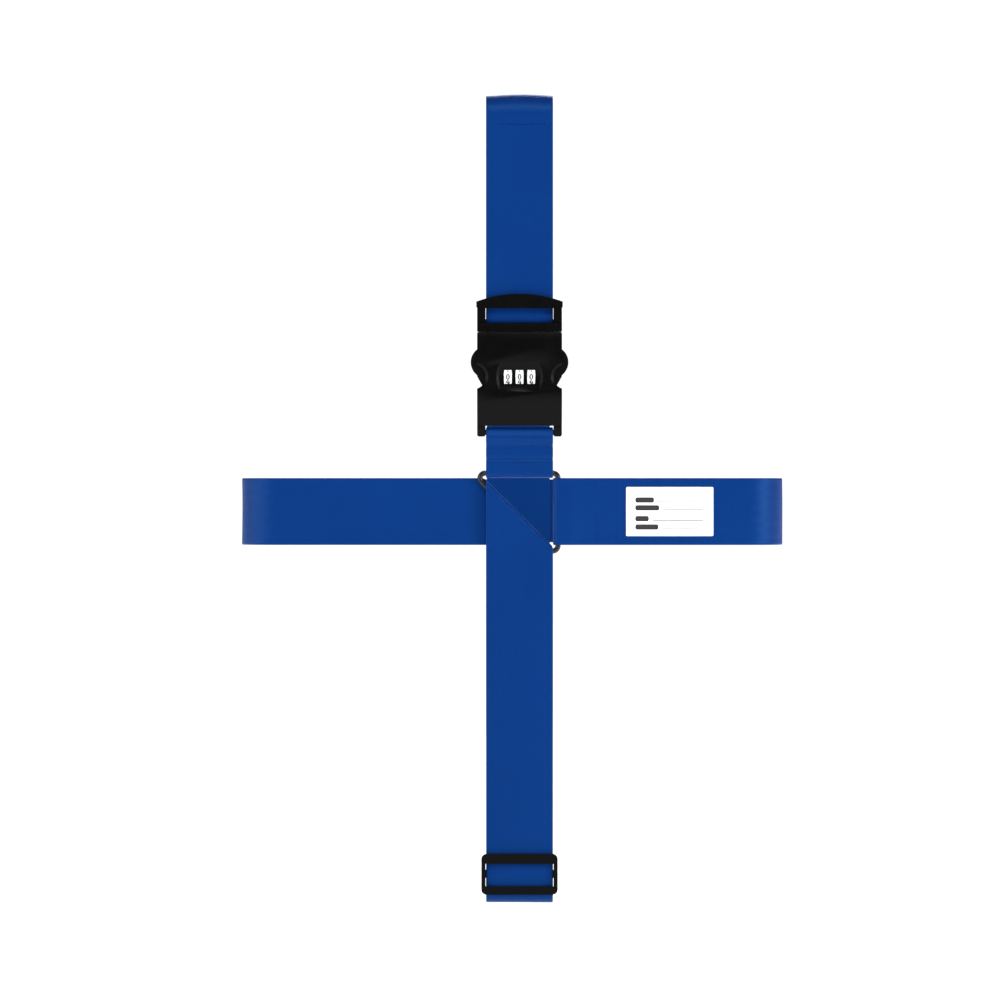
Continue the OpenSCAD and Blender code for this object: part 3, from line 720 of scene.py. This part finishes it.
def softened(node, name, width):
    """A copy of a CAD node whose edges, where its faces turn by more than SHARP, are rounded off."""
    data = NODES[node].data.copy()
    data.name = name
    mesh = bmesh.new()
    mesh.from_mesh(data)
    bmesh.ops.remove_doubles(mesh, verts=mesh.verts, dist=0.000002)
    bmesh.ops.dissolve_degenerate(mesh, edges=mesh.edges, dist=0.000004)
    bmesh.ops.dissolve_limit(mesh, angle_limit=math.radians(0.6), verts=mesh.verts,
                             edges=mesh.edges)
    for face in mesh.faces:
        face.smooth = True
    for edge in mesh.edges:
        edge.smooth = len(edge.link_faces) == 2 and edge.calc_face_angle(0) < SHARP
    mesh.to_mesh(data)
    mesh.free()
    obj = placed(name, data)
    bevel = obj.modifiers.new("Soft edges", "BEVEL")
    bevel.width, bevel.segments = width, 2
    bevel.limit_method, bevel.angle_limit = "ANGLE", SHARP
    bevel.use_clamp_overlap = True
    bevel.harden_normals = True
    graph = bpy.context.evaluated_depsgraph_get()
    done = bpy.data.meshes.new_from_object(obj.evaluated_get(graph))
    obj.modifiers.clear()
    obj.data = done
    return obj


# ---------- label and dials ----------

def flat_patch(name, patches, face_y):
    """Thin rounded bars on a face that looks to the front, each (x0, z0, x1, z1, radius)."""
    mesh = bmesh.new()
    for x0, z0, x1, z1, r in patches:
        outline = []
        for cx, cz, start in ((x1 - r, z0 + r, -90), (x1 - r, z1 - r, 0), (x0 + r, z1 - r, 90),
                              (x0 + r, z0 + r, 180)):
            outline += arc(cx, cz, r, start, start + 90, 4)
        front = [mesh.verts.new((x, face_y - LIE, z)) for x, z in outline]
        back = [mesh.verts.new((x, face_y + 0.00005, z)) for x, z in outline]
        mesh.faces.new(front)
        mesh.faces.new(list(reversed(back)))
        for i in range(len(front)):
            j = (i + 1) % len(front)
            mesh.faces.new((front[i], back[i], back[j], front[j]))
    bmesh.ops.recalc_face_normals(mesh, faces=mesh.faces)
    return from_bmesh(name, mesh)


def label_patches():
    """Plain dark caption bars and thin rules in four rows, as shares of the label's size."""
    low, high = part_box("name_label")
    wide, tall = high.x - low.x, high.z - low.z
    rows = ((0.735, 0.32, 0.36), (0.575, 0.38, 0.42), (0.355, 0.26, 0.30), (0.185, 0.37, 0.41))
    bars, rules = [], []
    for height, bar_end, rule_start in rows:
        z = low.z + tall * height
        bars.append((low.x + 0.105 * wide, z - 0.0020, low.x + bar_end * wide, z + 0.0020, 0.0014))
        rules.append((low.x + rule_start * wide, z - 0.0017, low.x + 0.885 * wide, z - 0.0011,
                      0.0001))
    return bars, rules


def rounded_label():
    """The label as a thin coated plate with eased edges, lying on the webbing."""
    dress(softened("name_label", "coated_label", 0.00018), "label", "strap", "name_label")


def digit_ring(name, centre, height):
    """Ten numbers round a dial, wrapped to its face."""
    mesh = bmesh.new()
    for number in range(10):
        curve = bpy.data.curves.new("digit", "FONT")
        curve.body = str(number)
        curve.size = height * 1.4
        curve.align_x, curve.align_y = "CENTER", "CENTER"
        curve.resolution_u = 3
        curve.offset = height * 0.035
        holder = placed("digit", curve)
        graph = bpy.context.evaluated_depsgraph_get()
        flat = bpy.data.meshes.new_from_object(holder.evaluated_get(graph))
        bpy.data.objects.remove(holder)
        part = bmesh.new()
        part.from_mesh(flat)
        bmesh.ops.remove_doubles(part, verts=part.verts, dist=0.000001)
        bmesh.ops.triangulate(part, faces=part.faces)
        xs = [v.co.x for v in part.verts]
        ys = [v.co.y for v in part.verts]
        mid_x, mid_y = (min(xs) + max(xs)) / 2, (min(ys) + max(ys)) / 2
        squeeze = min(1.0, 0.0034 / max(max(xs) - min(xs), 0.0001))
        middle = number * math.tau / 10
        for v in part.verts:
            angle = middle + (v.co.y - mid_y) / DIAL_R
            r = DIAL_R + 0.00003
            v.co = (centre[0] + (v.co.x - mid_x) * squeeze, centre[1] - r * math.cos(angle),
                    centre[2] + r * math.sin(angle))
        plain = bpy.data.meshes.new("digit")
        part.to_mesh(plain)
        part.free()
        mesh.from_mesh(plain)
        bpy.data.meshes.remove(plain)
    return from_bmesh(name, mesh)


# ---------- operators ----------

class STRAP_OT_webbing(bpy.types.Operator):
    """Weaves the long webbing, the buckle's stretch and the stub under the lock"""
    bl_idname = "strap.webbing"
    bl_label = "Weave Webbing"

    def execute(self, context):
        settings = context.scene.strap_webbing
        obj, length = long_webbing(settings)
        dress(obj, "webbing", "strap", "girth_webbing", "length_webbing")
        stretch, route = buckle_webbing(settings, length)
        dress(stretch, "webbing", None, "buckle_webbing")
        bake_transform(stretch)
        stub = link_webbing()
        dress(stub, "webbing", "strap", "link_webbing")
        link_route().length
        return {"FINISHED"}


class STRAP_OT_stitches(bpy.types.Operator):
    """Sews the stub's rows and the girth webbing's folded end"""
    bl_idname = "strap.stitches"
    bl_label = "Sew Stitches"

    def execute(self, context):
        settings = context.scene.strap_webbing
        tree = stitch_tree()
        front = OUTER_Y - WEB_T / 2 + 0.00035
        rows = [across_line(front, RING_TOP_Z + row, 0.0025) for row in LINK_ROWS]
        sew("stub_stitches", rows, tree, settings.stitch, 0.00030, "strap")
        face = OUTER_Y - WEB_T / 2 - 0.00012
        left, right = RING_SIDE_X + SEAM_START, RING_SIDE_X + SEAM_END
        half = WEB_W / 2 - 0.004
        box = [(left, GIRTH_Z - half), (left, GIRTH_Z + half), (right, GIRTH_Z + half),
               (right, GIRTH_Z - half), (left, GIRTH_Z - half)]
        lines = []
        for (x0, z0), (x1, z1) in zip(box, box[1:]):
            lines.append([Vector((x0 + (x1 - x0) * i / 20, face, z0 + (z1 - z0) * i / 20))
                          for i in range(21)])
        sew("girth_end_stitches", lines, tree, settings.stitch, 0.00022, "strap")
        return {"FINISHED"}


class STRAP_OT_label(bpy.types.Operator):
    """Makes the name label with its plain bars and rules"""
    bl_idname = "strap.label"
    bl_label = "Make Label"

    def execute(self, context):
        rounded_label()
        face = span("name_label", 1)[0]
        bars, rules = label_patches()
        dress(flat_patch("label_bars", bars, face), "ink", "strap")
        dress(flat_patch("label_rules", rules, face), "line", "strap")
        return {"FINISHED"}


class STRAP_OT_lock(bpy.types.Operator):
    """Softens and finishes the lock's covers, the plug, its arms and the slide"""
    bl_idname = "strap.lock"
    bl_label = "Finish Lock"

    def execute(self, context):
        soft = context.scene.strap_lock.soft_edge
        for node, name, body, finish, width in (
                ("lock_front_cover", "lock_front", "strap", "plastic", soft),
                ("lock_back_cover", "lock_back", "strap", "plastic", soft * 0.7),
                ("plug_base", "plug_frame", "plug", "plastic", soft * 1.1),
                ("plug_arm_left", "left_arm", "arm_left", "arm", soft * 1.4),
                ("plug_arm_right", "right_arm", "arm_right", "arm", soft * 1.4),
                ("webbing_slide", "three_bar_slide", "slide", "plastic", soft * 1.2)):
            dress(softened(node, name, width), finish, body, node)
        return {"FINISHED"}


class STRAP_OT_dials(bpy.types.Operator):
    """Prints the numbers on the three dials"""
    bl_idname = "strap.dials"
    bl_label = "Number Dials"

    def execute(self, context):
        height = context.scene.strap_lock.digit
        for i, (centre, side) in enumerate(zip(DIAL_AT, ("left", "middle", "right")), 1):
            coat(NODES[f"dial_{i}"], "dial")
            dress(digit_ring(f"{side}_dial_numbers", centre, height), "ink", f"dial_{side}")
        return {"FINISHED"}


class STRAP_OT_metal(bpy.types.Operator):
    """Gives the ring its black coating and the lock's inner parts plain steel"""
    bl_idname = "strap.metal"
    bl_label = "Finish Metal"

    def execute(self, context):
        inner = ("lock_screws", "dial_spindle", "dial_sleeve_1", "dial_sleeve_2",
                 "dial_sleeve_3", "detent_spring", "lock_plate", "plate_springs",
                 "reset_button", "reset_spring")
        for node, finish in [("triangle_ring", "ring")] + [(n, "steel") for n in inner]:
            coat(NODES[node], finish)
        return {"FINISHED"}


# each lamp's name, place, size and share of the light setting; all aim at one point
LAMPS = (("top", (0.1, -2.2, 2.8), 0.9, 0.60),
         ("left", (-1.9, -1.45, 0.8), 0.8, 0.26),
         ("left end", (-2.2, -0.4, 0.5), 0.8, 0.09),
         ("right", (1.9, -1.2, 0.7), 0.9, 0.42),
         ("behind", (0.3, 2.4, 1.9), 1.2, 0.25))
LIT_POINT = Vector((0, 0, 0.3))
EYE_ASIDE, EYE_HEIGHT, FLOOR_REACH = 0.01455, 0.2990, 9


class STRAP_OT_stage(bpy.types.Operator):
    """Sets the floor, the soft lights and the camera"""
    bl_idname = "strap.stage"
    bl_label = "Set Stage"

    def execute(self, context):
        settings = context.scene.strap_stage
        scene = context.scene
        floor_z = FLOOR_Z - WEB_T / 2 - 0.0003
        corners = [(x * FLOOR_REACH, y * FLOOR_REACH, floor_z)
                   for x, y in ((-1, -1), (1, -1), (1, 1), (-1, 1))]
        data = bpy.data.meshes.new("floor")
        data.from_pydata(corners, [], [(0, 1, 2, 3)])
        floor = placed("floor", data)
        pale, tree, bsdf = blank("Floor Paper", "stage", Roughness=0.85,
                                 Emission_Color=(1, 1, 1, 1), Emission_Strength=1.0)
        grain = add(tree, "ShaderNodeTexNoise",
                    {"Vector": add(tree, "ShaderNodeTexCoord").outputs["Object"],
                     "Scale": 3.0, "Detail": 2.0}).outputs[0]
        light = tuple(settings.floor)
        tree.links.new(mix(tree, grain, light, tuple(0.98 * c for c in light)),
                       bsdf.inputs["Base Color"])
        data.materials.append(pale)
        world = bpy.data.worlds.new("Studio")
        world.use_nodes = True
        back = world.node_tree.nodes["Background"]
        back.inputs[0].default_value = (0.97, 0.98, 1.0, 1)
        seen = add(world.node_tree, "ShaderNodeLightPath").outputs["Is Camera Ray"]
        world.node_tree.links.new(span_to(world.node_tree, seen, 0.12, 1.1), back.inputs[1])
        scene.world = world
        scene.view_settings.view_transform = "Standard"
        for name, place, size, share in LAMPS:
            lamp = bpy.data.lights.new(name, "AREA")
            lamp.size, lamp.energy = size, settings.key * share
            obj = placed(name, lamp)
            obj.location = place
            obj.rotation_euler = (LIT_POINT - Vector(place)).to_track_quat("-Z", "Y").to_euler()
        camera = bpy.data.cameras.new("camera")
        camera.sensor_width = 36
        camera.lens = 36 * settings.distance / settings.width
        eye = placed("camera", camera)
        eye.location = (STRAP_X - EYE_ASIDE, OUTER_Y - settings.distance, EYE_HEIGHT)
        eye.rotation_euler = (math.pi / 2, 0, 0)
        scene.camera = eye
        return {"FINISHED"}


class STRAP_PT_panel(bpy.types.Panel):
    """Sizes, colours and the steps that dress the strap"""
    bl_idname = "STRAP_PT_panel"
    bl_label = "Luggage Strap"
    bl_space_type = "VIEW_3D"
    bl_region_type = "UI"
    bl_category = "Strap"

    def draw(self, context):
        for group in ("strap_webbing", "strap_lock", "strap_stage"):
            box = self.layout.box()
            settings = getattr(context.scene, group)
            for key in type(settings).__annotations__:
                box.prop(settings, key)
        for step in STEPS:
            self.layout.operator(step.bl_idname)


STEPS = (STRAP_OT_stage, STRAP_OT_webbing, STRAP_OT_stitches, STRAP_OT_label, STRAP_OT_lock,
         STRAP_OT_dials, STRAP_OT_metal)
GROUPS = {"strap_webbing": WebbingSettings, "strap_lock": LockSettings,
          "strap_stage": StageSettings}


def register():
    for made in (*GROUPS.values(), *STEPS, STRAP_PT_panel):
        bpy.utils.register_class(made)
    for name, group in GROUPS.items():
        setattr(bpy.types.Scene, name, bpy.props.PointerProperty(type=group))


def unregister():
    for name in GROUPS:
        delattr(bpy.types.Scene, name)
    for made in reversed((*GROUPS.values(), *STEPS, STRAP_PT_panel)):
        bpy.utils.unregister_class(made)


def main():
    register()
    FINISH.update(make_finishes(bpy.context.scene))
    for step in STEPS:
        area, name = step.bl_idname.split(".")
        getattr(getattr(bpy.ops, area), name)()


if __name__ == "__main__":
    main()
